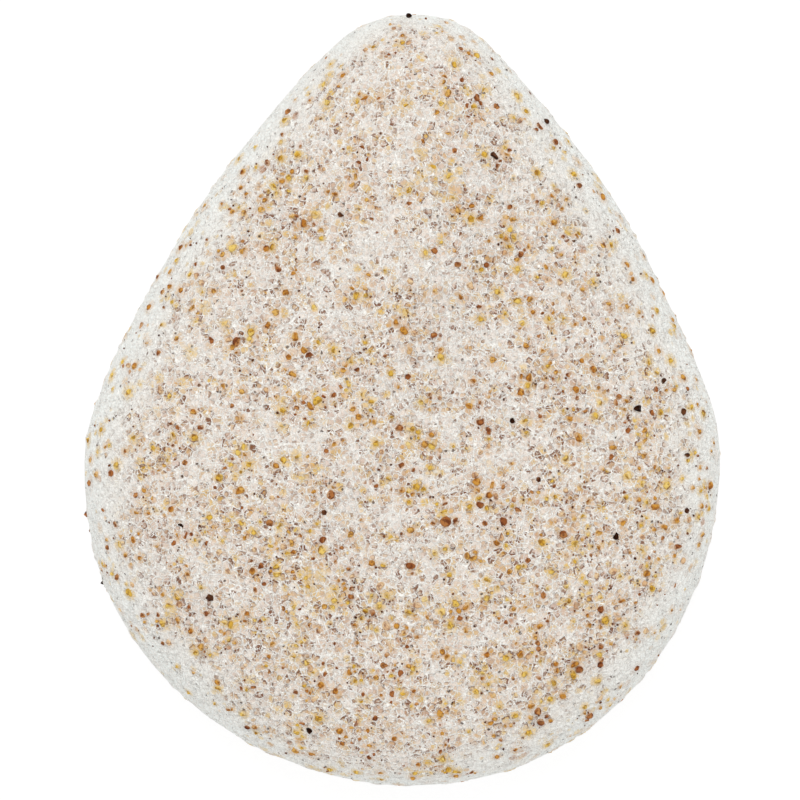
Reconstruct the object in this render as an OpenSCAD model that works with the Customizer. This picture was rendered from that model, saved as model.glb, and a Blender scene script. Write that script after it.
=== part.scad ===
// Teardrop facial sponge: springy konjac foam with crushed shell grit cast into it.
// It lies on its flat side, with +Z up and the tip towards +Y.
// The origin is under the middle of the outline's box, on the face that the sponge rests on.

/* [Outline] */
// Length from the round end to the tip
body_length = 96.5; // [90:0.5:110]
// Greatest width, across the round end
body_width = 79.5; // [72:0.5:88]
// Radius of the rounded tip
tip_radius = 13.2; // [12:0.1:16]
// Radius of the shoulders, between the round end and the flanks
shoulder_radius = 25.2; // [20:0.2:32]
// Radius of the long, nearly straight flanks
flank_radius = 123; // [105:1:170]
// How far the soft body has slumped to the left of the line through its tip
slump = 1.4; // [0:0.1:3]

/* [Thickness] */
// Full thickness, at the top of the crown
body_height = 27; // [22:0.5:34]
// Height above the flat side at which the outline is widest
waist_height = 10; // [7:0.5:13]
// How far the edge of the flat side lies inside the outline
base_inset = 5; // [3:0.25:8]
// How far the rounded rim reaches in from the outline
rim_inset = 11; // [8:0.25:11.75]
// Distance of the crown's top from the middle of the round end, towards the tip
crown_offset = 4.5; // [0:0.5:10]

/* [Grit and open cells] */
// Radius of the largest granules
granule_radius_max = 0.62; // [0.5:0.01:0.8]
// Radius of the smallest granules
granule_radius_min = 0.42; // [0.3:0.01:0.49]
// Gap between a granule and the wall of its pocket
pocket_clearance = 0.08; // [0.04:0.01:0.15]
// Radius of the largest open cells
cell_radius_max = 0.95; // [0.8:0.01:1.2]
// Radius of the smallest open cells
cell_radius_min = 0.6; // [0.4:0.01:0.79]
// Mean distance between neighbouring granules and open cells
site_spacing = 6.4; // [5.6:0.1:9]
// Distance of the outermost sites on the flat side from its edge
base_margin = 2; // [1.5:0.25:4]

/* [Hidden] */

// Crown profile: a superellipse from the waist to the top
crown_power = 2.8;
// How soon the inset reaches its full depth on the way to the top
inset_power = 3;
// How late the rings start to close in on the top
closing_power = 2;
// How low along the body the slump is greatest
slump_power = 1.8;

// Segments of the round end, the shoulder, the flank and the tip, on each half of a ring
arc_steps = [13, 4, 10, 6];
roll_rings = 4;
crown_rings = 12;

// Sites: how far a granule and an open cell lie below the skin, as shares of their radius
granule_sink_share = 0.45;
cell_sink_share = 0.25;
// Height of the middle of a granule and of an open cell above the flat side, as shares of their radius
base_granule_share = 0.5;
base_cell_share = 0.35;
// How far a site strays from its even place, as a share of the spacing
stray_share = 0.26;
// Shares of the sites that hold amber, yellow, rust, tan and dark granules; the rest are open cells
kind_shares = [0.27, 0.17, 0.14, 0.16, 0.03];
amber = 0;
yellow = 1;
rust = 2;
tan_kind = 3;
dark = 4;
open_cell = 5;

// Facets of a granule are rougher than those of an open cell: least share of the radius at a corner
granule_rough_share = 0.72;
cell_rough_share = 0.9;

golden_turn = (3 - sqrt(5)) / 2;
half_turn = 180;
quarter_turn = 90;
full_turn = 360;
stray_seed = 11;
size_seed = 23;
turn_seed = 37;
shape_seed = 1000;

// Outline: four tangent arcs on each side, mirrored, from the middle of the round end to the tip
round_radius = body_width / 2;
round_centre = [0, round_radius];
shoulder_centre = round_centre + [round_radius - shoulder_radius, 0];
tip_centre = [0, body_length - tip_radius];
flank_centre = meeting_point(
    shoulder_centre, flank_radius - shoulder_radius, tip_centre, flank_radius - tip_radius
);
shoulder_end = direction(shoulder_centre - flank_centre);
flank_end = direction(tip_centre - flank_centre);
crown_top = round_centre + [0, crown_offset];

// Each arc: centre, radius, first angle, last angle
arcs = [
    [round_centre, round_radius, -quarter_turn, 0],
    [shoulder_centre, shoulder_radius, 0, shoulder_end],
    [flank_centre, flank_radius, shoulder_end, flank_end],
    [tip_centre, tip_radius, flank_end, quarter_turn]
];
arc_lengths = [for (arc = arcs) arc[1] * radians(arc[3] - arc[2])];
arc_starts = [
    for (i = 0, at = 0; i <= len(arcs); at = at + (i < len(arcs) ? arc_lengths[i] : 0), i = i + 1) at
];
half_length = arc_starts[len(arcs)];

function radians(angle) = angle * PI / half_turn;
function direction(v) = atan2(v[1], v[0]);
function fraction(x) = x - floor(x);
function unit(v) = v / norm(v);
function between(low, high, share) = low + (high - low) * share;

// Point at distance a from p and b from q, on the left of the line from p to q
function meeting_point(p, a, q, b) =
    let (
        gap = norm(q - p),
        along = (a * a - b * b + gap * gap) / (2 * gap),
        aside = sqrt(a * a - along * along),
        ahead = (q - p) / gap
    )
    p + along * ahead + aside * [-ahead[1], ahead[0]];

// Number of the arc that holds a distance along the half outline
function arc_at(distance, i = 0) =
    i == len(arcs) - 1 || distance < arc_starts[i + 1] ? i : arc_at(distance, i + 1);

// Point of the right half, at a share of its length and an inset from the outline
function half_point(share, inset) =
    let (
        distance = share * half_length,
        i = arc_at(distance),
        arc = arcs[i],
        angle = arc[2] + (distance - arc_starts[i]) / arc_lengths[i] * (arc[3] - arc[2])
    )
    arc[0] + (arc[1] - inset) * [cos(angle), sin(angle)];

// Way round the outline: 0 at the round end, 1 at the tip, and back to 2 on the left
function outline_point(way, inset) =
    let (w = 2 * fraction(way / 2), p = half_point(w <= 1 ? w : 2 - w, inset))
    [w <= 1 ? p[0] : -p[0], p[1]];

// The soft body bows to the left, most of all below its middle
function slumped(p) =
    let (share = max(0, min(1, 1 - p[1] / body_length)))
    [p[0] - slump * sin(half_turn * pow(share, slump_power)), p[1]];

waist_steps = 100;
waist_x = [for (i = [0:waist_steps]) slumped(outline_point(2 * i / waist_steps, 0))[0]];
middle = [(min(waist_x) + max(waist_x)) / 2, body_length / 2];

// Skin of the sponge. Level is -1 at the edge of the flat side, 0 at the waist and 1 at the top
function skin_inset(level) =
    level < 0
        ? base_inset * (1 - cos(quarter_turn * level))
        : rim_inset * (1 - pow(1 - level, inset_power));
function skin_height(level) =
    level < 0
        ? waist_height * (1 + sin(quarter_turn * level))
        : waist_height
            + (body_height - waist_height) * pow(1 - pow(1 - level, crown_power), 1 / crown_power);
function skin(way, level) =
    let (
        closing = level < 0 ? 0 : pow(level, closing_power),
        flat = between(outline_point(way, skin_inset(level)), crown_top, closing),
        placed = slumped(flat) - middle
    )
    [placed[0], placed[1], skin_height(level)];

// Rings of the skin from the flat side up, and the ways of their corners
roll_levels = [for (i = [0:roll_rings - 1]) i / roll_rings - 1];
crown_levels = [
    for (i = [0:crown_rings - 1]) 1 - pow(cos(quarter_turn * i / crown_rings), 2 / crown_power)
];
levels = concat(roll_levels, crown_levels);
half_ways = [
    for (i = [0:len(arcs) - 1], j = [0:arc_steps[i] - 1])
        (arc_starts[i] + arc_lengths[i] * j / arc_steps[i]) / half_length
];
ring_size = 2 * len(half_ways);

// The left half repeats the right half backwards, so that both sides have the same corners
function ring_way(i) =
    i < len(half_ways) ? half_ways[i] : i == len(half_ways) ? 1 : 2 - half_ways[ring_size - i];
function ring_corner(ring, i) = ring * ring_size + i % ring_size;

foam_points = concat(
    [for (level = levels, i = [0:ring_size - 1]) skin(ring_way(i), level)],
    [skin(0, 1)]
);
foam_faces = concat(
    [[for (i = [0:ring_size - 1]) ring_corner(0, i)]],
    [
        for (ring = [0:len(levels) - 2], i = [0:ring_size - 1], lower = [true, false])
            lower
                ? [ring_corner(ring, i), ring_corner(ring + 1, i), ring_corner(ring, i + 1)]
                : [ring_corner(ring, i + 1), ring_corner(ring + 1, i), ring_corner(ring + 1, i + 1)]
    ],
    [
        for (i = [0:ring_size - 1])
            [ring_corner(len(levels) - 1, i), len(foam_points) - 1, ring_corner(len(levels) - 1, i + 1)]
    ]
);

// Area of the skin up to each level, measured across the widest part
side_way = arc_starts[1] / half_length;
area_steps = 60;
function side_reach(level) = norm([for (i = [0:1]) skin(side_way, level)[i] - skin(0, 1)[i]]);
function band_area(from, to) =
    norm(skin(side_way, to) - skin(side_way, from))
        * (side_reach(from) + side_reach(to)) / 2 / side_reach(0) * 2 * half_length;
level_step = 2 / area_steps;
area_to_level = [
    for (
        i = 0, area = 0;
        i <= area_steps;
        area = area + (i < area_steps ? band_area(i * level_step - 1, (i + 1) * level_step - 1) : 0),
        i = i + 1
    ) [area, i * level_step - 1]
];
skin_area = area_to_level[area_steps][0];
skin_sites = floor(skin_area / (site_spacing * site_spacing));

base_reach = side_reach(-1) - base_margin;
base_area = base_reach * half_length * base_reach / side_reach(0);
base_sites = floor(base_area / (site_spacing * site_spacing));

strays = rands(-1, 1, 2 * (skin_sites + base_sites), stray_seed);
sizes = rands(0, 1, skin_sites + base_sites, size_seed);
turns = rands(0, full_turn, 3 * (skin_sites + base_sites), turn_seed);

// Kind of granule at a site, dealt out evenly so that each kind is spread over the whole sponge
function kind_of(i, deal = -1, kind = 0) =
    let (left = deal < 0 ? fraction((i + 1) * golden_turn * golden_turn) : deal)
    kind == open_cell || left < kind_shares[kind] ? kind : kind_of(i, left - kind_shares[kind], kind + 1);
function is_open(i) = kind_of(i) == open_cell;
function site_radius(i) =
    is_open(i)
        ? between(cell_radius_min, cell_radius_max, sizes[i])
        : between(granule_radius_min, granule_radius_max, sizes[i]);

// Middle of a site on the skin, set below it along the skin's own slope, which a short step measures
slope_step_share = 0.002;
function skin_site(i) =
    let (
        way = 2 * fraction(i * golden_turn),
        even_level = lookup((i + 0.5) / skin_sites * skin_area, area_to_level),
        level = min(even_level, 1 - 2 * slope_step_share),
        along = (skin(way + slope_step_share, level) - skin(way, level)) / slope_step_share,
        upward = (skin(way, level + slope_step_share) - skin(way, level)) / slope_step_share,
        stray = stray_share * site_spacing,
        way_here = way + stray * strays[2 * i] / norm(along),
        strayed = level + stray * strays[2 * i + 1] / norm(upward),
        level_here = max(-1, min(1 - slope_step_share, strayed)),
        outward = unit(cross(along, upward)),
        sink = site_radius(i) * (is_open(i) ? cell_sink_share : granule_sink_share)
    )
    skin(way_here, level_here) - outward * sink;

// Middle of a site on the flat side
function base_site(i) =
    let (
        j = i - skin_sites,
        reach = sqrt((j + 0.5) / base_sites) * base_reach / side_reach(-1),
        flat = between(crown_top, outline_point(2 * fraction(j * golden_turn), base_inset), reach),
        stray = stray_share * site_spacing * [strays[2 * i], strays[2 * i + 1]],
        placed = slumped(flat) - middle + stray / 2,
        height = site_radius(i) * (is_open(i) ? base_cell_share : base_granule_share)
    )
    [placed[0], placed[1], height];
function on_base(i) = i >= skin_sites;
function site(i) = on_base(i) ? base_site(i) : skin_site(i);

// Corners of a twenty-faced grain: two poles, and two belts of five between them
belt_size = 5;
belt_turn = full_turn / belt_size;
belt_tilt = atan(1 / 2);
lower_belt = 1 + belt_size;
lower_pole = lower_belt + belt_size;
grain_size = lower_pole + 1;
function belt_corner(i, tilt) =
    [cos(belt_turn * i) * cos(tilt), sin(belt_turn * i) * cos(tilt), sin(tilt)];
grain_corners = concat(
    [[0, 0, 1]],
    [for (i = [0:belt_size - 1]) belt_corner(i, belt_tilt)],
    [for (i = [0:belt_size - 1]) belt_corner(i + 0.5, -belt_tilt)],
    [[0, 0, -1]]
);
grain_faces = [
    for (i = [0:belt_size - 1])
        let (j = (i + 1) % belt_size, a = 1 + i, b = 1 + j, c = lower_belt + i, d = lower_belt + j)
        each [[0, b, a], [a, b, c], [b, d, c], [c, d, lower_pole]]
];

function turned(p, x, y, z) =
    [[cos(z), -sin(z), 0], [sin(z), cos(z), 0], [0, 0, 1]]
        * [[cos(y), 0, sin(y)], [0, 1, 0], [-sin(y), 0, cos(y)]]
        * [[1, 0, 0], [0, cos(x), -sin(x)], [0, sin(x), cos(x)]]
        * p;

// Corners of the grain at a site, grown by a clearance
function grain(i, growth) =
    let (
        rough_share = is_open(i) ? cell_rough_share : granule_rough_share,
        corner_shares = rands(rough_share, 1, grain_size, shape_seed + i),
        centre = site(i)
    )
    [
        for (k = [0:grain_size - 1])
            centre
                + (site_radius(i) + growth) * corner_shares[k]
                    * turned(grain_corners[k], turns[3 * i], turns[3 * i + 1], turns[3 * i + 2])
    ];

// A granule on the flat side is pressed level with it by the mould
function pressed(i, points) = on_base(i) ? [for (p = points) [p[0], p[1], max(0, p[2])]] : points;

// All grains of a list of sites as one body of separate shells
module grains(points_of_each) {
    polyhedron(
        points = [for (points = points_of_each) each points],
        faces = [
            for (i = [0:len(points_of_each) - 1], face = grain_faces)
                [for (corner = face) corner + grain_size * i]
        ]
    );
}

all_sites = [for (i = [0:skin_sites + base_sites - 1]) i];
function sites_of(kind) = [for (i = all_sites) if (kind_of(i) == kind) i];

module granules(kind) {
    grains([for (i = sites_of(kind)) pressed(i, grain(i, 0))]);
}

// Foam casting: crowned teardrop with a flat side, a pocket for each granule, and open cells
module foam_body() {
    color([0.90, 0.86, 0.80])
        difference() {
            polyhedron(points = foam_points, faces = foam_faces, convexity = 4);
            grains([for (i = all_sites) grain(i, is_open(i) ? 0 : pocket_clearance)]);
        }
}

module amber_granules() {
    color([0.78, 0.50, 0.16]) granules(amber);
}

module yellow_granules() {
    color([0.85, 0.70, 0.26]) granules(yellow);
}

module rust_granules() {
    color([0.58, 0.29, 0.12]) granules(rust);
}

module tan_granules() {
    color([0.79, 0.64, 0.51]) granules(tan_kind);
}

module dark_granules() {
    color([0.17, 0.11, 0.08]) granules(dark);
}

foam_body();
amber_granules();
yellow_granules();
rust_granules();
tan_granules();
dark_granules();
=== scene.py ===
import math

import bpy
import numpy as np
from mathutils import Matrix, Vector
from mathutils.kdtree import KDTree


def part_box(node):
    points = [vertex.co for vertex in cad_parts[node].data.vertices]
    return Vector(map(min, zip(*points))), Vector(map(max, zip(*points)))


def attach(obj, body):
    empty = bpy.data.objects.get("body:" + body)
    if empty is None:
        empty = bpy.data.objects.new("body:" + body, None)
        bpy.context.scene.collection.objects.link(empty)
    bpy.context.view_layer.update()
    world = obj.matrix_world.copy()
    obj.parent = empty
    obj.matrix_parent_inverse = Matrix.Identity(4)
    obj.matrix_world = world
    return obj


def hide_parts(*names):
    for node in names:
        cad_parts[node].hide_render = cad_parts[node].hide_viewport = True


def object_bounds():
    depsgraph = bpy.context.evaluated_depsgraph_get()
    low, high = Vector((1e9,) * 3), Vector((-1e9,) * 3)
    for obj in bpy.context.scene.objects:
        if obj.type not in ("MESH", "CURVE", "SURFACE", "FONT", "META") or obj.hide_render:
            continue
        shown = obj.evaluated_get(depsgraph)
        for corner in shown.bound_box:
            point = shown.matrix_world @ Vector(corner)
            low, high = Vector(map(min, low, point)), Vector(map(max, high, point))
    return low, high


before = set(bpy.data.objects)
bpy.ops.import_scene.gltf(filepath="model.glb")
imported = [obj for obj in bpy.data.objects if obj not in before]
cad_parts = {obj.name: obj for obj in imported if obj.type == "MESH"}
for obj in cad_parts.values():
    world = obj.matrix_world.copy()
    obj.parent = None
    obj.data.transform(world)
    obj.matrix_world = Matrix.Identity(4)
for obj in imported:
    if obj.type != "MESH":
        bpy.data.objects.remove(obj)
cad_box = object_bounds()

# Lengths are in millimetres, and turn into metres where a mesh is written
MM = 0.001

# Photograph: its scale, its side in pixels, and the place on the table that its middle shows
PX_PER_MM = 8.0
IMAGE_PX = 800
CAMERA_X = -0.125
CAMERA_Y = -0.125

# Outline and thickness: four tangent arcs on each side, as in the foam's solid
foam_low, foam_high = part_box("foam_body")
BODY_WIDTH = round((foam_high.x - foam_low.x) / MM, 1)
BODY_LENGTH = round((foam_high.y - foam_low.y) / MM, 1)
BODY_HEIGHT = round((foam_high.z - foam_low.z) / MM, 1)
TIP_RADIUS = 13.2
SHOULDER_RADIUS = 25.2
FLANK_RADIUS = 123.0
SLUMP = 1.4
WAIST_HEIGHT = 10.0
BASE_INSET = 5.0
RIM_INSET = 11.0
CROWN_OFFSET = 4.5
CROWN_POWER = 2.8
INSET_POWER = 3
CLOSING_POWER = 2
SLUMP_POWER = 1.8

# Levels of the skin are -1 at the flat side, 0 at the waist and 1 at the top. At or under FLAT_LEVEL
# a point is on the flat side, and under WALL_LEVEL it counts as below the waist
FLAT_LEVEL = -0.999
WALL_LEVEL = 0.01

# Level under which the skin rests on the table, and levels over which its relief stops rising outwards
RESTING_LEVEL = -0.97
LOWER_EDGE = (-0.85, -1.0)

# Levels over which the waist's band fades in from above and from below
BAND_ABOVE = (0.035, 0.01)
BAND_BELOW = (-0.4, -0.15)

# Levels over which the wall turns from bare and pale to gritty, and how uneven that is
WALL_FADE = (0.0, -0.95)
WALL_FADE_UNEVEN = 0.22

# Foam mesh: squares along each side of the crown's grid; the flat side has half as many
CROWN_SQUARES = 760

# How far inside the crown's border the flat side's grid ends, in squares
SEAM_GAP = 0.4

# Foam relief: a soft undulation, cells, and larger cells of which a share are open mouths
UNDULATION = 0.22
CELL_SIZE = 0.62
CELL_DEPTH = 0.17
CELL_SLOPE = (0.02, 0.26)
BIG_CELL_SIZE = 1.75
BIG_CELL_DEPTH = 0.16
MOUTH_CHANCE = 0.3

# How far grains and veiled grains lift or dent the foam around them
GRAIN_LIFT = 0.05

# Distances from a grain's middle over which its effects on the foam set in or end, in radii
LAP_REACH = (3.4, 0.9)
POCKET_REACH = (1.25, 0.95)
HALO_START = (0.9, 1.1)
HALO_END = (1.75, 1.2)
GLOW_REACH = (2.7, 1.0)
VEIL_REACH = (1.25, 0.55)
LIP_REACH = 1.05
LIP_WIDTH = 0.14

# How far the flat side's skin stays above the table, and the deepest that relief goes
FLAT_RECESS = 0.02
DEEPEST = 0.9

# Pale rim: its least width, how much wider the flanks' is, and the y's over which it widens
PALE_WIDTH = 3.4
PALE_EXTRA = 4.0
PALE_FROM_TIP = (48, 23)
PALE_FROM_END = (-48, -36)

# The y's over which grit grows denser towards the round end
LOWER_GRIT = (25, -35)

# Density of grit on the flat side and at the waist, and how much denser the wall grows under it
FLAT_DENSITY = 0.75
WAIST_DENSITY = 0.3
WALL_DENSER = 0.45

# Height to which a film of foam climbs on a grain
FILM_HEIGHT = 0.1

# At the waist: how far foam laps over the grit, and how many radii deeper the grains sit
WAIST_LAP = 0.13
WAIST_SINK = 0.65

# Each sort of grain that is strewn: how many, their radii, how deep they may lie in radii, and their
# least distance from another grain as a share of both radii
ADDED_GRANULES = (2200, (0.24, 0.58), (0.2, 0.75), 0.8)
VEILED_GRANULES = (3000, (0.3, 0.8), (0.1, 0.8), 0.7)
ADDED_SPECKS = (1500, (0.07, 0.16), (0.2, 0.8), 1.0)

# Powers of the density by which veiled granules and specks keep to the gritty places
VEIL_CLUMPING = 1.2
SPECK_CLUMPING = 1.3

# Crushed shapes: how far out they are cut, how much they are stretched and how rough they are, each
# as the least share of the radius and how much more chance adds
CUT_DEPTH = (0.4, 0.4)
STRETCH = (0.75, 0.5)
ROUGHNESS = (0.96, 0.08)

# Places tried for each grain, and how strongly its radius leans to the small side
TRIES_PER_GRAIN = 3
SMALL_GRAIN_POWER = 1.4

# Soft patches with more or less grit than around them: pixel x, pixel y, radius in pixels, strength
GRIT_PATCHES = [
    (380, 45, 45, 0.4),
    (92, 450, 48, -2.2),
    (92, 530, 40, -1.2),
    (200, 245, 45, 0.6),
    (620, 600, 45, 0.5),
    (400, 745, 60, 0.9),
    (610, 450, 60, 0.6),
    (640, 545, 45, 0.4),
    (350, 635, 50, 0.6),
    (365, 130, 45, 0.9),
    (250, 205, 50, 0.8),
    (470, 250, 60, 0.4),
    (505, 325, 40, 0.5),
    (345, 410, 45, 0.9),
    (640, 410, 32, 1.3),
    (180, 490, 60, 0.8),
    (235, 520, 40, 0.6),
    (530, 520, 60, 0.6),
    (675, 515, 35, 0.9),
    (430, 540, 25, 0.7),
    (340, 570, 40, 0.9),
    (270, 610, 50, 0.8),
    (330, 680, 60, 0.9),
    (480, 670, 40, 0.9),
    (570, 675, 40, 1.0),
    (390, 220, 45, -0.7),
    (230, 310, 60, -0.7),
    (455, 435, 65, -1.3),
    (215, 580, 30, -0.6),
    (440, 610, 45, -0.7),
    (520, 90, 45, -0.9),
    (175, 665, 55, -1.2),
]

# Near-black granules that stand out in the photograph: pixel x, pixel y, radius in millimetres
BLACK_GRANULES = [
    (634, 409, 0.56),
    (409, 19, 0.34),
    (105, 582, 0.4),
    (613, 534, 0.4),
    (310, 726, 0.42),
    (185, 523, 0.42),
    (511, 420, 0.36),
]
# How deep they sit, in radii: less than nothing, so that they clear the foam's undulation
BLACK_SINK = -0.15

# Stage: camera and lamp in metres, sensor and floor in millimetres
CAMERA_AWAY = 0.9
SENSOR_WIDTH = 36
LAMP_PLACE = (-0.03, 0.36, 0.92)
LAMP_SIZE = 0.5
LAMP_ENERGY = 2.5
SKY_STRENGTH = 0.86
FLOOR_REACH = 1500.0
FLOOR_GAP = 0.01
FLOOR_GLOW = 0.85
FLOOR_LIT = (0.94, 0.94, 0.94, 1)
FLOOR_SEEN = (0.2, 0.2, 0.2, 1)


def srgb(red, green, blue):
    """Linear colour of an 8-bit display colour."""
    def linear(value):
        share = value / 255
        return share / 12.92 if share <= 0.04045 else ((share + 0.055) / 1.055) ** 2.4
    return (linear(red), linear(green), linear(blue), 1.0)


def smooth(low, high, value):
    """0 below low, 1 above high, and a smooth rise between them. Works with low above high too."""
    share = np.clip((value - low) / (high - low), 0, 1)
    return share * share * (3 - 2 * share)


# Skin of the sponge

def meeting_point(p, a, q, b):
    """Point at distance a from p and b from q, on the left of the line from p to q."""
    gap = np.linalg.norm(q - p)
    along = (a * a - b * b + gap * gap) / (2 * gap)
    aside = math.sqrt(a * a - along * along)
    ahead = (q - p) / gap
    return p + along * ahead + aside * np.array([-ahead[1], ahead[0]])


ROUND_RADIUS = BODY_WIDTH / 2
round_centre = np.array([0, ROUND_RADIUS])
shoulder_centre = round_centre + [ROUND_RADIUS - SHOULDER_RADIUS, 0]
tip_centre = np.array([0, BODY_LENGTH - TIP_RADIUS])
flank_centre = meeting_point(
    shoulder_centre, FLANK_RADIUS - SHOULDER_RADIUS, tip_centre, FLANK_RADIUS - TIP_RADIUS
)
shoulder_end = math.atan2(*(shoulder_centre - flank_centre)[::-1])
flank_end = math.atan2(*(tip_centre - flank_centre)[::-1])
crown_top = round_centre + [0, CROWN_OFFSET]
arc_centres = np.array([round_centre, shoulder_centre, flank_centre, tip_centre])
arc_radii = np.array([ROUND_RADIUS, SHOULDER_RADIUS, FLANK_RADIUS, TIP_RADIUS])
arc_angles = np.array([-math.pi / 2, 0, shoulder_end, flank_end, math.pi / 2])
arc_lengths = arc_radii * np.diff(arc_angles)
arc_starts = np.concatenate([[0], np.cumsum(arc_lengths)])


def outline(way, inset):
    """Points of the outline: way is 0 at the round end, 1 at the tip, and back to 2 on the left."""
    way = np.mod(way, 2)
    distance = np.where(way <= 1, way, 2 - way) * arc_starts[-1]
    arc = np.clip(np.searchsorted(arc_starts, distance, side="right") - 1, 0, 3)
    share = (distance - arc_starts[arc]) / arc_lengths[arc]
    angle = arc_angles[arc] + share * (arc_angles[arc + 1] - arc_angles[arc])
    reach = arc_radii[arc] - inset
    x = arc_centres[arc, 0] + reach * np.cos(angle)
    y = arc_centres[arc, 1] + reach * np.sin(angle)
    return np.stack([np.where(way <= 1, x, -x), y], -1)


def slumped(p):
    """Points moved to the left, most of all below the middle, as the soft casting has slumped."""
    share = np.clip(1 - p[..., 1] / BODY_LENGTH, 0, 1)
    return np.stack([p[..., 0] - SLUMP * np.sin(math.pi * share ** SLUMP_POWER), p[..., 1]], -1)


waist_x = slumped(outline(np.linspace(0, 2, 101), 0))[:, 0]
middle = np.array([(waist_x.min() + waist_x.max()) / 2, BODY_LENGTH / 2])


def crown_inset(level):
    """How far inside the outline the crown is at a level."""
    return RIM_INSET * (1 - (1 - np.clip(level, 0, 1)) ** INSET_POWER)


def skin(way, level):
    """Points of the skin. Level is -1 at the edge of the flat side, 0 at the waist and 1 at the top."""
    below = level < 0
    low = np.minimum(level, 0)
    high = np.clip(level, 0, 1)
    inset = np.where(below, BASE_INSET * (1 - np.cos(math.pi / 2 * low)), crown_inset(level))
    rise = (1 - (1 - high) ** CROWN_POWER) ** (1 / CROWN_POWER)
    height = np.where(
        below,
        WAIST_HEIGHT * (1 + np.sin(math.pi / 2 * low)),
        WAIST_HEIGHT + (BODY_HEIGHT - WAIST_HEIGHT) * rise,
    )
    closing = (high ** CLOSING_POWER)[..., None]
    flat = slumped(outline(way, inset) * (1 - closing) + crown_top * closing) - middle
    return np.concatenate([flat, height[..., None]], -1)


def levels_by_area(steps=400):
    """Levels from the top down to the flat side, and the share of the skin's area above each."""
    levels = np.linspace(1, -1, steps + 1)
    side = skin(np.full(steps + 1, arc_starts[1] / arc_starts[-1]), levels)
    reach = np.linalg.norm(side[:, :2] - side[0, :2], axis=1)
    slant = np.linalg.norm(np.diff(side, axis=0), axis=1)
    area = np.concatenate([[0], np.cumsum(slant * (reach[1:] + reach[:-1]) / 2)])
    return levels, area / area[-1]


# Noise that is the same on every run

def hashed(ix, iy, iz, seed):
    """Even random share for each whole-number place."""
    h = (ix * 73856093) ^ (iy * 19349663) ^ (iz * 83492791) ^ (seed * 2654435761)
    h = (h ^ (h >> 13)) & 0xFFFFFFFF
    h = (h * 1274126177) & 0xFFFFFFFF
    h = (h ^ (h >> 16)) & 0xFFFFFFFF
    h = (h * 2246822519) & 0xFFFFFFFF
    return ((h ^ (h >> 15)) & 0xFFFFFF) / float(0x1000000)


def wave(points, size, seed):
    """Smooth noise from -1 to 1, with bumps of about the given size."""
    place = points / size
    cell = np.floor(place).astype(np.int64)
    share = place - cell
    share = share * share * (3 - 2 * share)
    total = np.zeros(len(points))
    for dx in (0, 1):
        for dy in (0, 1):
            for dz in (0, 1):
                weight = (
                    (share[:, 0] if dx else 1 - share[:, 0])
                    * (share[:, 1] if dy else 1 - share[:, 1])
                    * (share[:, 2] if dz else 1 - share[:, 2])
                )
                total += weight * hashed(cell[:, 0] + dx, cell[:, 1] + dy, cell[:, 2] + dz, seed)
    return 2 * total - 1


def cells(points, size, seed):
    """Distance to the nearest and second nearest cell middle, and a random share for the nearest cell."""
    place = points / size
    cell = np.floor(place).astype(np.int64)
    nearest = np.full(len(points), 9.0)
    second = np.full(len(points), 9.0)
    share = np.zeros(len(points))
    for dx in (-1, 0, 1):
        for dy in (-1, 0, 1):
            for dz in (-1, 0, 1):
                there = cell + [dx, dy, dz]
                x, y, z = there[:, 0], there[:, 1], there[:, 2]
                apart = (
                    (x + hashed(x, y, z, seed) - place[:, 0]) ** 2
                    + (y + hashed(x, y, z, seed + 1) - place[:, 1]) ** 2
                    + (z + hashed(x, y, z, seed + 2) - place[:, 2]) ** 2
                )
                closer = apart < nearest
                second = np.where(closer, nearest, np.minimum(second, apart))
                share = np.where(closer, hashed(x, y, z, seed + 3), share)
                nearest = np.where(closer, apart, nearest)
    return np.sqrt(nearest) * size, np.sqrt(second) * size, share


# Grids that cover the skin and the flat side with nearly square faces

def square_to_round(squares):
    """Ways and distances from the middle, 0 to 1, for the corners of a square grid."""
    line = np.linspace(-1, 1, squares + 1)
    u, v = np.meshgrid(line, line, indexing="ij")
    wide = np.abs(u) > np.abs(v)
    reach = np.maximum(np.abs(u), np.abs(v))
    safe_u = np.where(u == 0, 1, u)
    safe_v = np.where(v == 0, 1, v)
    angle = np.where(wide, math.pi / 4 * v / safe_u, math.pi / 2 - math.pi / 4 * u / safe_v)
    angle = np.where(np.where(wide, u, v) < 0, angle + math.pi, angle)
    angle = np.where(reach == 0, 0, angle)
    return (angle / math.pi).ravel(), reach.ravel()


def grid_faces(squares, start, flip):
    """Four corners of each square."""
    i, j = np.meshgrid(np.arange(squares), np.arange(squares), indexing="ij")
    a = (i * (squares + 1) + j).ravel() + start
    b, c, d = a + squares + 1, a + squares + 2, a + 1
    return np.stack([a, d, c, b] if flip else [a, b, c, d], -1)


def grid_border(squares, start):
    """Corners along the grid's border, once round."""
    last = squares
    row = squares + 1
    steps = np.arange(squares)
    return start + np.concatenate([
        last * row + steps,
        (last - steps) * row + last,
        last - steps,
        steps * row,
    ])


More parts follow.
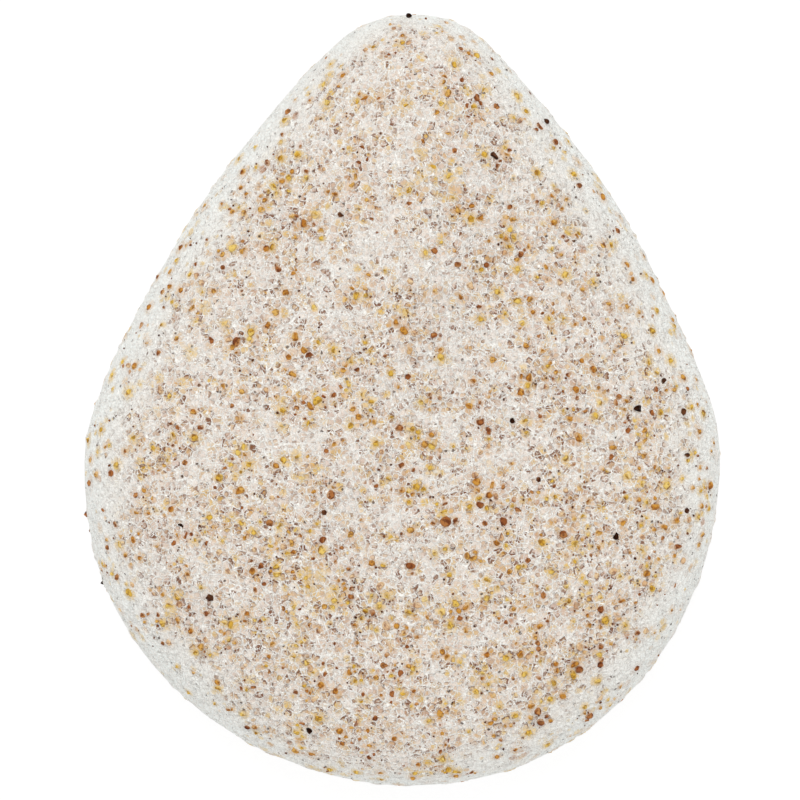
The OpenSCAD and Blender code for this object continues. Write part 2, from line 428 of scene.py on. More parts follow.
def foam_skin():
    """Points, outward directions, levels, faces and triangles of the smooth foam."""
    crown = CROWN_SQUARES
    base = CROWN_SQUARES // 2
    levels, shares = levels_by_area()
    way, reach = square_to_round(crown)
    crown_level = np.interp(reach ** 2, shares, levels)
    crown_points = skin(way, crown_level)
    way, reach = square_to_round(base)
    edge = (1 - SEAM_GAP / base) * reach[:, None]
    flat = slumped(outline(way, BASE_INSET) * edge + crown_top * (1 - edge)) - middle
    base_points = np.concatenate([flat, np.zeros((len(flat), 1))], -1)
    points = np.concatenate([crown_points, base_points])
    level = np.concatenate([crown_level, np.full(len(base_points), -1.0)])

    across = crown_points.reshape(crown + 1, crown + 1, 3)
    outward = np.cross(np.gradient(across, axis=0), np.gradient(across, axis=1)).reshape(-1, 3)
    outward /= np.maximum(np.linalg.norm(outward, axis=1), 1e-12)[:, None]
    outward = np.concatenate([outward, np.tile([0.0, 0.0, -1.0], (len(base_points), 1))])

    quads = np.concatenate([grid_faces(crown, 0, False), grid_faces(base, len(crown_points), True)])
    fine = grid_border(crown, 0)
    coarse = grid_border(base, len(crown_points))
    next_coarse = np.roll(coarse, -1)
    first, second, third = fine[0::2], fine[1::2], np.roll(fine, -2)[0::2]
    seam = np.concatenate([
        np.stack([coarse, second, first], -1),
        np.stack([coarse, next_coarse, second], -1),
        np.stack([next_coarse, third, second], -1),
    ])
    return points, outward, level, quads, seam


def waist_band(level):
    """1 in a narrow band at the waist, whose grains would stand out as beads on the outline."""
    return smooth(*BAND_ABOVE, level) * smooth(*BAND_BELOW, level)


def underneath(points, level):
    """0 at the waist, and a slow, uneven rise to 1 at the edge of the flat side."""
    uneven = WALL_FADE_UNEVEN * wave(points, 6.0, seed=9) * smooth(0.0, -0.25, level)
    return smooth(*WALL_FADE, level + uneven)


def area_weights(points, quads):
    """Share of the area that each point stands for."""
    a, b, c, d = (points[quads[:, k]] for k in range(4))
    area = np.linalg.norm(np.cross(c - a, d - b), axis=1) / 2
    weight = np.zeros(len(points))
    for k in range(4):
        np.add.at(weight, quads[:, k], area / 4)
    return weight / weight.sum()


# Grit

# Kinds of grain, and their shares among the added granules and the veiled ones
KINDS = ["amber", "yellow", "rust", "tan", "dark", "black"]
KIND_SHARES = [0.34, 0.345, 0.2, 0.105, 0.01, 0.0]
VEIL_SHARES = [0.3, 0.55, 0.08, 0.07, 0.0, 0.0]

# Tones of each kind, from its dark side to its light side
GRIT_COLOURS = {
    "amber": [(0.0, srgb(178, 112, 38)), (0.5, srgb(202, 144, 58)), (1.0, srgb(220, 176, 96))],
    "yellow": [(0.0, srgb(204, 156, 50)), (0.5, srgb(222, 182, 76)), (1.0, srgb(232, 202, 116))],
    "rust": [(0.0, srgb(130, 70, 30)), (0.5, srgb(160, 94, 44)), (1.0, srgb(192, 136, 78))],
    "tan": [(0.0, srgb(208, 166, 122)), (0.5, srgb(220, 184, 142)), (1.0, srgb(228, 200, 158))],
    "dark": [(0.0, srgb(62, 32, 16)), (0.5, srgb(86, 48, 24)), (1.0, srgb(116, 70, 38))],
    "black": [(0.0, srgb(32, 14, 6)), (0.5, srgb(46, 22, 10)), (1.0, srgb(68, 36, 18))],
}

# How far the film covers each kind
GRIT_VEILS = {"amber": 0.6, "yellow": 0.6, "rust": 0.6, "tan": 0.6, "dark": 0.35, "black": 0.1}

# Colour and strength, kind by kind, with which grains stain the foam around them
STAINS = np.array([
    srgb(208, 150, 50),
    srgb(226, 182, 60),
    srgb(178, 114, 58),
    srgb(208, 172, 138),
    srgb(150, 112, 78),
    srgb(150, 112, 78),
])
GLOWS = np.array([0.6, 0.8, 0.25, 0.35, 0.1, 0.1])

# A grain is a row of numbers, in these columns
MIDDLE = slice(0, 3)
RADIUS = 3
WAY_OUT = slice(4, 7)
DEPTH = 7
KIND = 8


def frame_granules():
    """Every granule that the frame holds: middle, radius, way up, no depth, and kind."""
    found = []
    for name in sorted(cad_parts):
        if not name.endswith("_granules"):
            continue
        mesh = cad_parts[name].data
        co = np.zeros(len(mesh.vertices) * 3)
        mesh.vertices.foreach_get("co", co)
        co = np.round(co.reshape(-1, 3) / MM, 4)
        corners, index = np.unique(co, axis=0, return_inverse=True)
        index = index.ravel()
        owner = list(range(len(corners)))

        def top(i):
            while owner[i] != i:
                owner[i] = owner[owner[i]]
                i = owner[i]
            return i

        for polygon in mesh.polygons:
            first = top(index[polygon.vertices[0]])
            for v in polygon.vertices[1:]:
                owner[top(index[v])] = first
        group = np.array([top(i) for i in range(len(corners))])
        for g in np.unique(group):
            grain = corners[group == g]
            centre = grain.mean(0)
            kind = KINDS.index(name[:-len("_granules")])
            found.append((*centre, np.linalg.norm(grain - centre, axis=1).max(), 0, 0, 1, 0, kind))
    return np.array(found)


def from_pixel(x, y):
    """Place on the table that a pixel of the photograph shows, in millimetres."""
    half = IMAGE_PX / 2
    return np.array([(x - half) / PX_PER_MM + CAMERA_X, (half - y) / PX_PER_MM + CAMERA_Y])


def grit_density(points, level):
    """How much grit lies at each point, as a share of the most."""
    inside = crown_inset(level) + 0.7 * wave(points, 6.0, seed=3)
    rim = 0.48 + 0.3 * smooth(0.4, 2.4, inside) + 0.22 * smooth(4.0, 8.0, inside)
    rim = np.where(level < WALL_LEVEL, WAIST_DENSITY + WALL_DENSER * underneath(points, level), rim)
    density = np.where(level <= FLAT_LEVEL, FLAT_DENSITY, rim)
    lower = 0.8 + 0.5 * smooth(*LOWER_GRIT, points[:, 1])
    broad_clumps = 0.3 * wave(points, 9.0, seed=5) + 0.3 * wave(points, 4.0, seed=6)
    density = density * lower * np.exp(broad_clumps + 2.2 * wave(points, 2.1, seed=7))
    patch = np.zeros(len(points))
    for x, y, radius, strength in GRIT_PATCHES:
        apart = np.linalg.norm(points[:, :2] - from_pixel(x, y), axis=1) * PX_PER_MM / radius
        patch += 0.55 * strength * np.exp(-apart * apart)
    return density * np.where(level > 0, np.exp(patch), 1)


def black_granules(points, outward, level):
    """The near-black granules, each on the crown's nearest point to its place in the photograph."""
    crown = np.where(level > 0)[0]
    found = []
    for x, y, radius in BLACK_GRANULES:
        spot = crown[np.argmin(np.linalg.norm(points[crown, :2] - from_pixel(x, y), axis=1))]
        out = outward[spot]
        centre = points[spot] - out * radius * BLACK_SINK
        found.append((*centre, radius, *out, BLACK_SINK * radius, KINDS.index("black")))
    return np.array(found)


def scatter(rng, smooth_skin, weights, sort, taken):
    """Grains of one sort strewn over the skin by weight, apart from each other and from those taken."""
    points, outward, waist = smooth_skin
    count, radii, sinks, apart = sort
    chance = weights / weights.sum()
    tries = count * TRIES_PER_GRAIN
    picks = rng.choice(len(points), size=tries, p=chance)
    sizes = radii[0] + (radii[1] - radii[0]) * rng.random_sample(tries) ** SMALL_GRAIN_POWER
    step = 2 * max(radii[1], taken[:, RADIUS].max())
    near = {}

    def block_of(p):
        return tuple(np.floor(p / step).astype(int))

    for grain in taken:
        near.setdefault(block_of(grain[MIDDLE]), []).append(tuple(grain[:4]))
    depths = sinks[0] + (sinks[1] - sinks[0]) * rng.random_sample(tries)
    kept = []
    for pick, size, sink in zip(picks, sizes, depths + WAIST_SINK * waist[picks]):
        centre = points[pick] - outward[pick] * size * sink
        sx, sy, sz = block_of(centre)
        clear = True
        for dx in (-1, 0, 1):
            for dy in (-1, 0, 1):
                for dz in (-1, 0, 1):
                    for gx, gy, gz, gr in near.get((sx + dx, sy + dy, sz + dz), ()):
                        gap = (gr + size) * apart
                        if (
                            (gx - centre[0]) ** 2 + (gy - centre[1]) ** 2 + (gz - centre[2]) ** 2
                            < gap * gap
                        ):
                            clear = False
        if clear:
            near.setdefault((sx, sy, sz), []).append((*centre, size))
            kept.append((*centre, size, *outward[pick], size * sink, 0))
            if len(kept) == count:
                break
    return np.array(kept)


def ball(rounds):
    """Corners and triangles of a ball of twenty faces, each split into four once a round."""
    golden = (1 + math.sqrt(5)) / 2
    corners = []
    for one in (-1, 1):
        for other in (-golden, golden):
            corners += [(0, one, other), (one, other, 0), (other, 0, one)]
    corners = np.array(corners, float)
    corners /= np.linalg.norm(corners, axis=1)[:, None]
    edge = min(np.linalg.norm(corners[0] - c) for c in corners[1:]) * 1.01
    faces = []
    for a in range(12):
        for b in range(a + 1, 12):
            for c in range(b + 1, 12):
                sides = (corners[a] - corners[b], corners[b] - corners[c], corners[c] - corners[a])
                if all(np.linalg.norm(s) < edge for s in sides):
                    out = np.dot(np.cross(corners[b] - corners[a], corners[c] - corners[a]), corners[a])
                    faces.append((a, b, c) if out > 0 else (a, c, b))
    corners = [tuple(c) for c in corners]
    for _ in range(rounds):
        halves = {}

        def half(a, b):
            key = (min(a, b), max(a, b))
            if key not in halves:
                point = np.add(corners[a], corners[b])
                corners.append(tuple(point / np.linalg.norm(point)))
                halves[key] = len(corners) - 1
            return halves[key]

        split = []
        for a, b, c in faces:
            ab, bc, ca = half(a, b), half(b, c), half(c, a)
            split += [(a, ab, ca), (b, bc, ab), (c, ca, bc), (ab, bc, ca)]
        faces = split
    return np.array(corners), np.array(faces)


def turns(rng, count):
    """Even random turns as matrices."""
    q = rng.normal(size=(count, 4))
    q /= np.linalg.norm(q, axis=1)[:, None]
    w, x, y, z = q.T
    rows = [
        [1 - 2 * (y * y + z * z), 2 * (x * y - z * w), 2 * (x * z + y * w)],
        [2 * (x * y + z * w), 1 - 2 * (x * x + z * z), 2 * (y * z - x * w)],
        [2 * (x * z - y * w), 2 * (y * z + x * w), 1 - 2 * (x * x + y * y)],
    ]
    return np.stack([np.stack(row, -1) for row in rows], -2)


def crushed(rng, grains, rounds, cuts):
    """Points, triangles and film of crushed grains: rounded lumps with a few broken flats."""
    corners, faces = ball(rounds)
    count = len(grains)
    shape = np.tile(corners, (count, 1, 1))

    def spread(least, more, *size):
        return least + more * rng.random_sample((count, *size))

    for _ in range(cuts):
        direction = rng.normal(size=(count, 1, 3))
        direction /= np.linalg.norm(direction, axis=2, keepdims=True)
        over = np.maximum((shape * direction).sum(2) - spread(*CUT_DEPTH, 1), 0)
        shape = shape - over[..., None] * direction
    shape *= spread(*STRETCH, 1, 3)
    shape *= spread(*ROUGHNESS, len(corners), 1)
    shape = np.einsum("nij,nkj->nki", turns(rng, count), shape)
    shape = shape * grains[:, RADIUS, None, None]
    proud = (shape * grains[:, None, WAY_OUT]).sum(2) - grains[:, None, DEPTH]
    shape = grains[:, None, MIDDLE] + shape
    shape[..., 2] = np.maximum(shape[..., 2], 0)
    steps = np.arange(count)[:, None, None] * len(corners)
    film = smooth(FILM_HEIGHT, -0.02, proud)
    return shape.reshape(-1, 3), (faces[None] + steps).reshape(-1, 3), film.ravel()


# Meshes

def new_piece(name, points, face_sets, material):
    """A mesh object from points in millimetres and arrays of faces."""
    mesh = bpy.data.meshes.new(name)
    counts = np.concatenate([np.full(len(faces), faces.shape[1]) for faces in face_sets])
    corners = np.concatenate([faces.ravel() for faces in face_sets])
    mesh.vertices.add(len(points))
    mesh.vertices.foreach_set("co", (points * MM).astype(np.float32).ravel())
    mesh.loops.add(len(corners))
    mesh.loops.foreach_set("vertex_index", corners.astype(np.int32))
    mesh.polygons.add(len(counts))
    starts = np.concatenate([[0], np.cumsum(counts)[:-1]])
    mesh.polygons.foreach_set("loop_start", starts.astype(np.int32))
    mesh.update(calc_edges=True)
    mesh.validate()
    mesh.polygons.foreach_set("use_smooth", np.ones(len(mesh.polygons), bool))
    mesh.materials.append(material)
    piece = bpy.data.objects.new(name, mesh)
    bpy.context.scene.collection.objects.link(piece)
    return piece


def keep_shares(mesh, name, values):
    """A share or colour for each point, which the material reads by name."""
    if values.ndim == 1:
        attribute = mesh.attributes.new(name, "FLOAT", "POINT")
        attribute.data.foreach_set("value", values.astype(np.float32))
    else:
        attribute = mesh.attributes.new(name, "FLOAT_COLOR", "POINT")
        attribute.data.foreach_set("color", values.astype(np.float32).ravel())


# Materials

FOAM_SKIN = srgb(242, 235, 227)
# Colour in the relief's cell pits: painted shade, a little warmer than the skin
FOAM_PIT_SHADE = srgb(228, 216, 204)
FOAM_WARM = srgb(228, 202, 178)
FOAM_GOLDEN = srgb(226, 186, 100)
# Rim colour: the foam's paler edge, made whiter as painted light where the skin faces sideways
FOAM_RIM_PALE_AND_LIT = srgb(248, 253, 250)
# Paler foam on the raised lip round each grain, partly a painted highlight
FOAM_LIP_AND_HIGHLIGHT = srgb(248, 242, 232)
FOAM_DULL = srgb(188, 172, 158)
CELL_WALL = srgb(255, 253, 247)
CELL_SHADOW = srgb(122, 70, 34)
MOUTH_SHADOW = srgb(140, 100, 70)
# Painted shade inside the open pores
PORE_SHADE = srgb(58, 34, 22)
FILM = srgb(240, 226, 200)
# Tints of the cell hollows, pale to dark: the foam's warm tint, and painted shade in the darker hollows
CELL_TINTS = [
    (0.0, srgb(220, 199, 187)),
    (0.4, srgb(206, 176, 156)),
    (0.7, srgb(213, 180, 136)),
    (1.0, srgb(174, 128, 92)),
]
SPECK_COLOURS = [(0.0, srgb(72, 34, 14)), (1.0, srgb(156, 92, 42))]

# What is left of red, green, blue and alpha in a grain's darker colour: its own dark mottling, and
# painted shade on its shaded side and at the film's edge
DARK_MOTTLE_AND_SHADE_SHARES = (0.36, 0.24, 0.3, 1.0)


class Nodes:
    """Short names for making a material's nodes."""

    def __init__(self, name, roughness):
        self.material = bpy.data.materials.new(name)
        self.material.use_nodes = True
        self.tree = self.material.node_tree
        self.shader = self.tree.nodes["Principled BSDF"]
        self.shader.inputs["Roughness"].default_value = roughness

    def put(self, socket, value):
        if hasattr(value, "is_output"):
            self.tree.links.new(value, socket)
        else:
            socket.default_value = value

    def position(self):
        return self.tree.nodes.new("ShaderNodeTexCoord").outputs["Object"]

    def outward(self):
        return self.tree.nodes.new("ShaderNodeTexCoord").outputs["Normal"]

    def vector(self, operation, a, b, c=(0, 0, 0)):
        node = self.tree.nodes.new("ShaderNodeVectorMath")
        node.operation = operation
        for socket, value in zip(node.inputs[:3], (a, b, c)):
            self.put(socket, value)
        return node.outputs["Value" if operation == "DOT_PRODUCT" else "Vector"]

    def bent(self, size_mm, reach_mm, shift_mm=0.0):
        """Position pushed about by noise, so that round forms come out uneven."""
        place = self.position()
        noise = self.tree.nodes.new("ShaderNodeTexNoise")
        self.put(noise.inputs["Vector"], place)
        noise.inputs["Scale"].default_value = 1 / (size_mm * MM)
        noise.inputs["Detail"].default_value = 1.0
        moved = self.vector("ADD", place, (shift_mm * MM,) * 3)
        return self.vector("MULTIPLY_ADD", noise.outputs["Color"], (2 * reach_mm * MM,) * 3, moved)

    def share(self, name, output="Fac"):
        node = self.tree.nodes.new("ShaderNodeAttribute")
        node.attribute_name = name
        return node.outputs[output]

    def mix(self, amount, low, high):
        node = self.tree.nodes.new("ShaderNodeMix")
        node.data_type = "RGBA"
        # Of the node's many sockets, 0 is the amount, and 6, 7 and output 2 are the colours
        self.put(node.inputs[0], amount)
        self.put(node.inputs[6], low)
        self.put(node.inputs[7], high)
        return node.outputs[2]

    def math(self, operation, a, b=0.0):
        node = self.tree.nodes.new("ShaderNodeMath")
        node.operation = operation
        node.use_clamp = operation == "MULTIPLY_ADD"
        self.put(node.inputs[0], a)
        self.put(node.inputs[1], b)
        return node.outputs[0]

    def range(self, value, low, high, to_low=0.0, to_high=1.0):
        node = self.tree.nodes.new("ShaderNodeMapRange")
        node.interpolation_type = "SMOOTHSTEP"
        for socket, number in zip(node.inputs[:5], (value, low, high, to_low, to_high)):
            self.put(socket, number)
        return node.outputs[0]

    def noise(self, size_mm, detail=2.0):
        node = self.tree.nodes.new("ShaderNodeTexNoise")
        self.put(node.inputs["Vector"], self.position())
        node.inputs["Scale"].default_value = 1 / (size_mm * MM)
        node.inputs["Detail"].default_value = detail
        return node.outputs["Fac"]

    def voronoi(self, place, size_mm, feature="F1"):
        node = self.tree.nodes.new("ShaderNodeTexVoronoi")
        node.feature = feature
        self.put(node.inputs["Vector"], place)
        node.inputs["Scale"].default_value = 1 / (size_mm * MM)
        return node

    def thirds(self, colour):
        """Three separate random shares from a cell's random colour."""
        node = self.tree.nodes.new("ShaderNodeSeparateColor")
        self.put(node.inputs[0], colour)
        return node.outputs[0], node.outputs[1], node.outputs[2]

    def ramp(self, value, stops):
        node = self.tree.nodes.new("ShaderNodeValToRGB")
        self.put(node.inputs[0], value)
        elements = node.color_ramp.elements
        while len(elements) < len(stops):
            elements.new(1.0)
        for element, (place, colour) in zip(elements, stops):
            element.position = place
            element.color = colour
        return node.outputs[0]

    def bump(self, height, distance_mm, strength):
        node = self.tree.nodes.new("ShaderNodeBump")
        node.inputs["Strength"].default_value = strength
        node.inputs["Distance"].default_value = distance_mm * MM
        self.put(node.inputs["Height"], height)
        return node.outputs["Normal"]


def cell_net(n, place, size_mm, wall_mm, strengths):
    """One net of open cells: shares of white wall, a painted shadow along one side inside the wall, and
    tinted hollow, and the hollow's tint, partly painted shade.
    """
    cell = n.voronoi(place, size_mm)
    edge = n.voronoi(place, size_mm, "DISTANCE_TO_EDGE").outputs["Distance"]
    _, second, third = n.thirds(cell.outputs["Color"])
    wall = n.range(edge, 0.4 * wall_mm / size_mm, wall_mm / size_mm, 1.0, 0.0)
    patchy = n.range(n.noise(0.7 * size_mm, detail=1.0), 0.36, 0.5, 0.1, 1.0)
    wall = n.math("MULTIPLY", wall, patchy)
    hollow = n.range(edge, wall_mm / size_mm, 2.7 * wall_mm / size_mm)
    hollow = n.math("MULTIPLY", hollow, n.range(third, 0.0, 1.0, strengths[0], strengths[1]))
    # A painted shadow just inside the wall, on one side of each hollow
    off = n.math("ABSOLUTE", n.math("SUBTRACT", edge, 1.7 * wall_mm / size_mm))
    line = n.range(off, 0.6 * wall_mm / size_mm, 1.6 * wall_mm / size_mm, 1.0, 0.0)
    across = n.vector("SUBTRACT", place, cell.outputs["Position"])
    facing = n.vector("MULTIPLY_ADD", cell.outputs["Color"], (2, 2, 2), (-1, -1, -1))
    side = n.vector("DOT_PRODUCT", across, facing)
    line = n.math("MULTIPLY", line, n.range(third, 0.35, 0.8))
    dark = n.math("MULTIPLY", line, n.range(side, 0.0, 0.2 * size_mm * MM))
    return wall, dark, hollow, n.ramp(second, CELL_TINTS)


def open_pores(n):
    """Share of open pores, whose insides are painted dark as shade."""
    pores = n.voronoi(n.bent(0.4, reach_mm=0.12, shift_mm=71.0), 0.8)
    _, chance, _ = n.thirds(pores.outputs["Color"])
    near = n.range(pores.outputs["Distance"], 0.3, 0.17)
    return n.math("MULTIPLY", near, n.range(chance, 0.7, 0.95))


def foam_colour(n):
    """Colour and relief of moist konjac foam, with the grit that shows through its skin."""
    rim = n.share("rim")
    # Painted shade in the relief's cell pits, by the hollow share
    foam = n.mix(n.share("hollow"), FOAM_SKIN, FOAM_PIT_SHADE)
    gritty = n.range(n.share("grit"), 0.0, 0.7, 0.45, 1.0)
    gritty = n.math("MULTIPLY", gritty, n.range(rim, 0.1, 0.9, 1.0, 0.2))
    warm = n.range(n.share("grit"), 0.15, 1.3, 0.0, 0.35)
    foam = n.mix(n.math("MULTIPLY", warm, gritty), foam, FOAM_WARM)
    golden = n.range(n.noise(1.9, detail=1.0), 0.54, 0.71, 0.0, 0.66)
    golden = n.math("MULTIPLY", golden, gritty)
    foam = n.mix(golden, foam, FOAM_GOLDEN)
    nets = [
        cell_net(n, n.bent(0.55, reach_mm=0.17), 0.98, wall_mm=0.085, strengths=(0.0, 0.95)),
        cell_net(
            n, n.bent(0.35, reach_mm=0.1, shift_mm=37.0), 0.58, wall_mm=0.052, strengths=(-0.5, 0.65)
        ),
    ]
    # Hollows tinted, partly as painted shade
    for _, _, hollow, tint in nets:
        foam = n.mix(n.math("MULTIPLY", hollow, gritty), foam, tint)
    # Pale rim and wall, partly painted light that brightens the side-facing skin
    foam = n.mix(n.math("MULTIPLY", rim, 0.9), foam, FOAM_RIM_PALE_AND_LIT)
    stain = n.share("stain", "Color")
    stained = n.share("stain", "Alpha")
    blotches = n.range(n.noise(0.35, detail=1.0), 0.3, 0.7, 0.7, 1.0)
    foam = n.mix(n.math("MULTIPLY", stained, blotches), foam, stain)
    clear = n.range(stained, 0.15, 0.9, 1.0, 0.4)

    # Open pores: painted shade inside them, and a dent in the bump
    pore = open_pores(n)
    foam = n.mix(n.math("MULTIPLY", pore, 0.95), foam, PORE_SHADE)
    height = n.math("MULTIPLY", pore, -1.0)
    for (wall, dark, hollow, _), depth in zip(nets, (0.95, 0.62)):
        shadow = n.math("MULTIPLY", dark, n.math("MULTIPLY", gritty, depth))
        foam = n.mix(shadow, foam, CELL_SHADOW)
        foam = n.mix(n.math("MULTIPLY", wall, clear), foam, CELL_WALL)
        height = n.math("ADD", height, n.math("SUBTRACT", wall, hollow))

    mouth = n.share("mouth")
    ring = n.math("MULTIPLY", n.range(mouth, 0.05, 0.4), n.range(mouth, 0.85, 0.45))
    foam = n.mix(n.math("MULTIPLY", ring, 0.25), foam, MOUTH_SHADOW)
    dull = n.range(rim, 0.1, 1.0, 0.34, 0.2)
    foam = n.mix(n.range(n.noise(0.2, detail=1.0), 0.56, 0.36, 0.0, dull), foam, FOAM_DULL)
    # Paler lip round each grain, partly a painted highlight
    foam = n.mix(n.math("MULTIPLY", n.share("halo"), 0.3), foam, FOAM_LIP_AND_HIGHLIGHT)
    return foam, height


def foam_material():
    """Moist konjac foam: white cell walls, warmer hollows partly darkened as painted shade, painted
    shadows in cells and pores, veiled grit and a pale, dense rim partly brightened as painted light.
    """
    n = Nodes("konjac_foam", 0.62)
    foam, height = foam_colour(n)
    n.put(n.shader.inputs["Base Color"], foam)
    n.put(n.shader.inputs["Normal"], n.bump(height, distance_mm=0.09, strength=0.8))
    n.shader.inputs["Specular IOR Level"].default_value = 0.3
    n.put(n.shader.inputs["Roughness"], n.range(n.noise(0.8), 0.3, 0.7, 0.48, 0.72))
    return n.material


def grit_material(name, stops, veil=0.6):
    """Crushed shell grit: each grain has its own tone and mottling, a painted shaded side and lit side,
    and painted shade where the film meets it, and lies partly under a film.
    """
    n = Nodes(name, 0.5)
    place = n.voronoi(n.position(), 1.9)
    tone, _, _ = n.thirds(place.outputs["Color"])
    colour = n.ramp(tone, stops)
    mottle = n.range(n.noise(0.4), 0.46, 0.62, 0.0, 0.7)
    dark = tuple(share * c for share, c in zip(DARK_MOTTLE_AND_SHADE_SHARES, stops[0][1]))
    colour = n.mix(mottle, colour, dark)
    # Painted shade on one side of each grain and painted light on the other, turned at random from grain
    # to grain
    facing = n.vector("MULTIPLY_ADD", place.outputs["Color"], (2, 2, 0.4), (-1, -1, -0.2))
    side = n.vector("DOT_PRODUCT", n.outward(), facing)
    colour = n.mix(n.range(side, 0.3, 0.85, 0.0, 0.85), colour, dark)
    colour = n.mix(n.range(side, -0.2, -0.8, 0.0, 0.5), colour, stops[-1][1])
    film = n.share("film")
    # Painted shade in the crevice where the foam's film meets the grain
    outline = n.math("MULTIPLY", n.range(film, 0.0, 0.35), n.range(film, 0.95, 0.5))
    colour = n.mix(n.math("MULTIPLY", outline, 0.3), colour, dark)
    cover = n.math("ADD", film, n.range(n.noise(0.35), 0.4, 0.75, -0.2, 0.6))
    cover = n.range(cover, 0.45, 1.1, 0.0, veil)
    colour = n.mix(cover, colour, n.mix(0.5, FILM, stops[-1][1]))
    n.put(n.shader.inputs["Base Color"], colour)
    n.put(n.shader.inputs["Normal"], n.bump(n.noise(0.15), distance_mm=0.04, strength=0.6))
    n.shader.inputs["Specular IOR Level"].default_value = 0.25 * veil
    n.put(n.shader.inputs["Roughness"], n.range(n.noise(0.4), 0.3, 0.7, 0.35, 0.6))
    return n.material


# Relief of the foam

def closest(points, grains):
    """The grain nearest to each point, and how far its middle is, in its radii."""
    tree = KDTree(len(grains))
    for i, grain in enumerate(grains):
        tree.insert(grain[MIDDLE], i)
    tree.balance()
    found = [tree.find(p)[1:] for p in points]
    index = np.array([f[0] for f in found])
    return index, np.array([f[1] for f in found]) / grains[index, RADIUS]


def pale_rim(points, level):
    """1 on the pale outline, fading inwards over the crown and unevenly down the wall. Its colour is
    partly the foam's paler edge and partly painted light on the side-facing skin.
    """
    along = points[:, 1]
    broad = PALE_WIDTH + PALE_EXTRA * smooth(*PALE_FROM_TIP, along) * smooth(*PALE_FROM_END, along)
    rim = smooth(broad, 0.0, crown_inset(level) + 0.8 * wave(points, 4.0, seed=8))
    rim = np.where(level < WALL_LEVEL, 1 - underneath(points, level), rim)
    return np.where(level <= FLAT_LEVEL, 0, rim)


def foam_relief(points, level, granules, veils):
    """Height of the skin's relief in millimetres, and the shares that the material reads."""
    nearest, second, share = cells(points, CELL_SIZE, seed=11)
    hollow = smooth(*CELL_SLOPE, second - nearest) * (0.3 + 0.7 * share)
    nearest, second, share = cells(points, BIG_CELL_SIZE, seed=21)
    open_radius = 0.3 + 0.9 * share
    mouth = np.where(share < MOUTH_CHANCE, smooth(open_radius, open_radius * 0.45, nearest), 0)

    index, reach = closest(points, granules)
    kind = granules[index, KIND].astype(int)
    lap = WAIST_LAP * smooth(*LAP_REACH, reach) * waist_band(level)
    pocket = smooth(*POCKET_REACH, reach)
    halo = smooth(*HALO_START, reach) * smooth(*HALO_END, reach)
    glow = (smooth(*GLOW_REACH, reach) * GLOWS[kind])[:, None]
    glow_colour = STAINS[kind]
    index, reach = closest(points, veils)
    veil = smooth(*VEIL_REACH, reach) * (1 - pocket)
    strength = 0.35 + 0.6 * np.mod(index * 0.7548, 1)
    veil_colour = STAINS[veils[index, KIND].astype(int)]
    lip = np.exp(-((reach - LIP_REACH) / LIP_WIDTH) ** 2) * (1 - pocket)

    hollow = np.clip(hollow * (1 - 0.7 * veil) * (1 - pocket), 0, 1)
    mouth = mouth * (1 - pocket)
    height = (
        lap
        + UNDULATION * (wave(points, 13.0, seed=1) + 0.4 * wave(points, 5.0, seed=2) - 0.35)
        - CELL_DEPTH * hollow
        - BIG_CELL_DEPTH * mouth
        + GRAIN_LIFT * halo
        + GRAIN_LIFT * lip
        - GRAIN_LIFT * veil
    )
    edge_of_flat = smooth(*LOWER_EDGE, level)
    height = np.where(level <= RESTING_LEVEL, np.minimum(height + UNDULATION, 0) - FLAT_RECESS, height)
    height = height * (1 - edge_of_flat) + np.minimum(height, 0) * edge_of_flat
    veiled = (veil * strength)[:, None]
    stain = (veiled * veil_colour + glow * glow_colour) / np.maximum(veiled + glow, 1e-6)
    stain[:, 3] = 1 - (1 - veiled[:, 0]) * (1 - glow[:, 0])
    shares = {
        "hollow": hollow,
        "mouth": mouth,
        "halo": halo * (0.3 + 0.7 * share),
        "stain": stain,
        "grit": np.clip(grit_density(points, level), 0, 2),
        "rim": pale_rim(points, level),
    }
    return np.maximum(height, -DEEPEST), shares


# Pieces

def place_grit(rng, points, outward, level, weights):
    """All granules of the skin, veiled ones, the skin's that are not the frame's, and specks."""
    density = grit_density(points, level)
    waist = waist_band(level)
    surface = (points, outward, waist)
    black = black_granules(points, outward, level)
    taken = np.concatenate([frame_granules(), black])
    added = scatter(rng, surface, weights * density, ADDED_GRANULES, taken)
    added[:, KIND] = rng.choice(len(KINDS), len(added), p=KIND_SHARES)
    granules = np.concatenate([taken, added])
    veils = scatter(rng, surface, weights * density ** VEIL_CLUMPING, VEILED_GRANULES, granules)
    veils[:, KIND] = rng.choice(len(KINDS), len(veils), p=VEIL_SHARES)
    clear_of_waist = weights * density ** SPECK_CLUMPING * (1 - waist)
    specks = scatter(rng, surface, clear_of_waist, ADDED_SPECKS, granules)
    return granules, veils, np.concatenate([added, black]), specks


def make_grit(rng, loose, specks):
    """The loose granules by kind and the specks. The frame's granules get the same materials."""
    for k, name in enumerate(KINDS):
        grains = loose[loose[:, KIND] == k]
        material = grit_material(name + "_grit", GRIT_COLOURS[name], GRIT_VEILS[name])
        corners, faces, film = crushed(rng, grains, rounds=2, cuts=5)
        piece = new_piece("fine_" + name + "_granules", corners, [faces], material)
        keep_shares(piece.data, "film", film)
        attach(piece, "root")
        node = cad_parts.get(name + "_granules")
        if node:
            node.data.materials.clear()
            node.data.materials.append(material)
    corners, faces, _ = crushed(rng, specks, rounds=1, cuts=2)
    piece = new_piece("fine_specks", corners, [faces], grit_material("speck", SPECK_COLOURS))
    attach(piece, "root")


def make_sponge():
    """The foam, with the frame's granules in their pockets and the finer grit around them."""
    points, outward, level, quads, seam = foam_skin()
    rng = np.random.RandomState(7)
    granules, veils, loose, specks = place_grit(rng, points, outward, level, area_weights(points, quads))

    height, shares = foam_relief(points, level, granules, veils)
    relief = points + outward * height[:, None]
    relief[:, 2] = np.maximum(relief[:, 2], 0)
    foam = new_piece("foam_skin", relief, [quads, seam], foam_material())
    for name, values in shares.items():
        keep_shares(foam.data, name, values)
    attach(foam, "root")
    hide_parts("foam_body")
    make_grit(rng, loose, specks)


# Stage

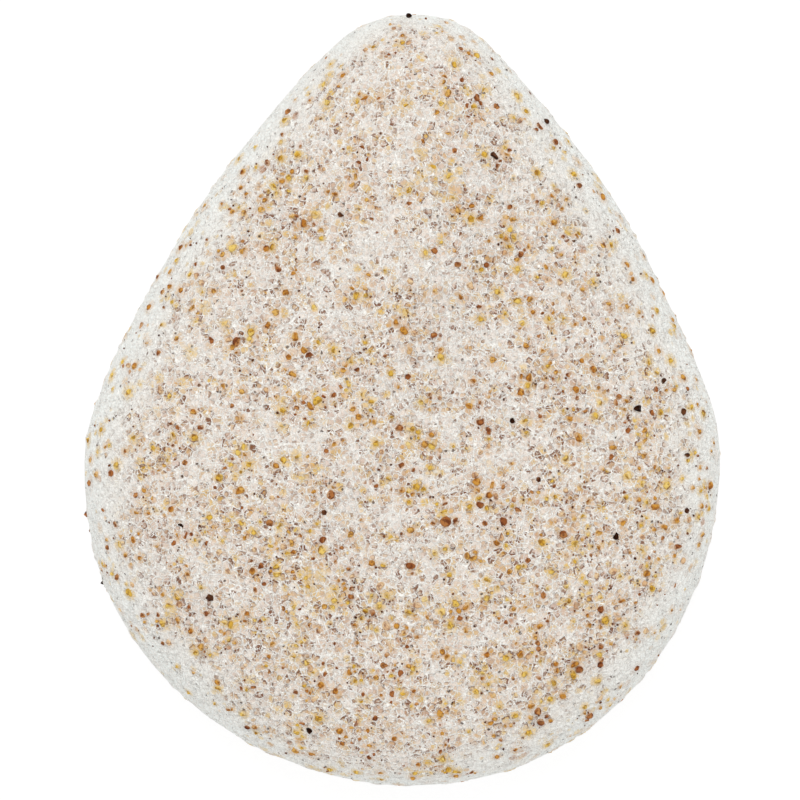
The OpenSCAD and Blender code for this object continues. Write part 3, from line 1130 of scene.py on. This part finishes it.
def make_floor():
    """A white floor that keeps a faint shadow of the sponge."""
    n = Nodes("white_floor", 0.9)
    n.shader.inputs["Specular IOR Level"].default_value = 0.0
    tree = n.tree
    path = tree.nodes.new("ShaderNodeLightPath")
    seen = n.math("MAXIMUM", path.outputs["Is Camera Ray"], path.outputs["Is Glossy Ray"])
    seen = n.math("MAXIMUM", seen, path.outputs["Is Transmission Ray"])
    n.put(n.shader.inputs["Base Color"], n.mix(seen, FLOOR_LIT, FLOOR_SEEN))
    glow = tree.nodes.new("ShaderNodeEmission")
    n.put(glow.inputs["Strength"], n.math("MULTIPLY", seen, FLOOR_GLOW))
    add = tree.nodes.new("ShaderNodeAddShader")
    tree.links.new(n.shader.outputs[0], add.inputs[0])
    tree.links.new(glow.outputs[0], add.inputs[1])
    tree.links.new(add.outputs[0], tree.nodes["Material Output"].inputs["Surface"])
    points = FLOOR_REACH * np.array([(-1, -1, 0), (1, -1, 0), (1, 1, 0), (-1, 1, 0)])
    floor = new_piece("floor", points, [np.array([[0, 1, 2, 3]])], n.material)
    floor.location.z = cad_box[0].z - FLOOR_GAP * MM


def make_light():
    """A wide soft lamp overhead, a little towards the tip, and an even white sky."""
    world = bpy.data.worlds.new("sky")
    world.use_nodes = True
    background = world.node_tree.nodes["Background"]
    background.inputs["Color"].default_value = (1, 1, 1, 1)
    background.inputs["Strength"].default_value = SKY_STRENGTH
    bpy.context.scene.world = world
    lamp = bpy.data.lights.new("soft_lamp", "AREA")
    lamp.shape = "DISK"
    lamp.size = LAMP_SIZE
    lamp.energy = LAMP_ENERGY
    holder = bpy.data.objects.new("soft_lamp", lamp)
    holder.location = LAMP_PLACE
    holder.rotation_euler = (Vector((0, 0, 0)) - holder.location).to_track_quat("-Z", "Y").to_euler()
    bpy.context.scene.collection.objects.link(holder)


def make_camera():
    """Straight above the sponge, with the tip up, through a long lens."""
    camera = bpy.data.cameras.new("camera")
    field = IMAGE_PX / PX_PER_MM * MM
    camera.sensor_width = SENSOR_WIDTH
    camera.lens = SENSOR_WIDTH * CAMERA_AWAY / field
    camera.clip_start = 0.05
    camera.clip_end = 10
    holder = bpy.data.objects.new("camera", camera)
    holder.location = (CAMERA_X * MM, CAMERA_Y * MM, CAMERA_AWAY + WAIST_HEIGHT * MM)
    bpy.context.scene.collection.objects.link(holder)
    bpy.context.scene.camera = holder


make_camera()
make_light()
make_floor()
make_sponge()
bpy.context.scene.view_settings.view_transform = "Standard"
